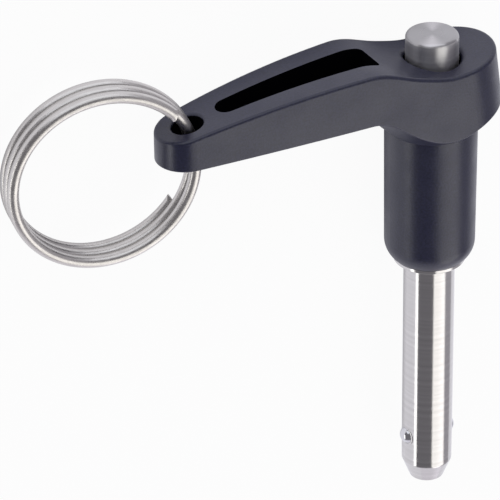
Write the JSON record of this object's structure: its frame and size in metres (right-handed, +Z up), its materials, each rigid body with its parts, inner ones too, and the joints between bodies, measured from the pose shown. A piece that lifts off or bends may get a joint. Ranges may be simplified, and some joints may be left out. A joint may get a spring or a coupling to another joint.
{
  "type": "ball lock pin",
  "caption": "Quick-release locking pin with an angled lever handle, a push button that frees its locking balls, and a split ring to tether it.",
  "frame": {"origin": "on the pin's axis, in the plane of the seat under the collar", "axes": "+Y along the shank towards its tip, +X along the handle's arm, +Z up, square to both, as the pin lies on its side"},
  "size_m": [0.0813, 0.0839, 0.0152],
  "materials": {
    "handle": "fine matte",
    "shank_steel": "fine ground",
    "button_steel": "turned",
    "ball_steel": "polished",
    "spring_steel": "drawn wire",
    "ring_steel": "satin"
  },
  "bodies": {
    "grip": {"handle": "handle", "shank": "shank_steel", "return_spring": "spring_steel"},
    "plunger": {"push_button": "button_steel", "spindle": "shank_steel"},
    "near_ball": {"ball_near": "ball_steel"},
    "far_ball": {"ball_far": "ball_steel"},
    "ring": {"split_ring": "ring_steel"}
  },
  "joints": [
    {"name": "button_press", "type": "slide", "parent": "grip", "child": "plunger", "axis": [0, 1, 0], "range_m": [0, 0.003], "stiffness_N_per_m": 1500, "springref_m": -0.004, "deforming": ["return_spring"]},
    {"name": "ball_near_in", "type": "slide", "parent": "grip", "child": "near_ball", "axis": [-1, 0, 0], "range_m": [0, 0.00076]},
    {"name": "ball_far_in", "type": "slide", "parent": "grip", "child": "far_ball", "axis": [1, 0, 0], "range_m": [0, 0.00076]},
    {"name": "ring_swing", "type": "hinge", "parent": "grip", "child": "ring", "pos_m": [0.0418, -0.0321, 0], "axis": [0, 1, 0], "range_deg": [-150, 135]}
  ],
  "couplings": [
    {"joint": "ball_near_in", "follows": "button_press", "ratio": 0.25},
    {"joint": "ball_far_in", "follows": "button_press", "ratio": 0.25}
  ]
}
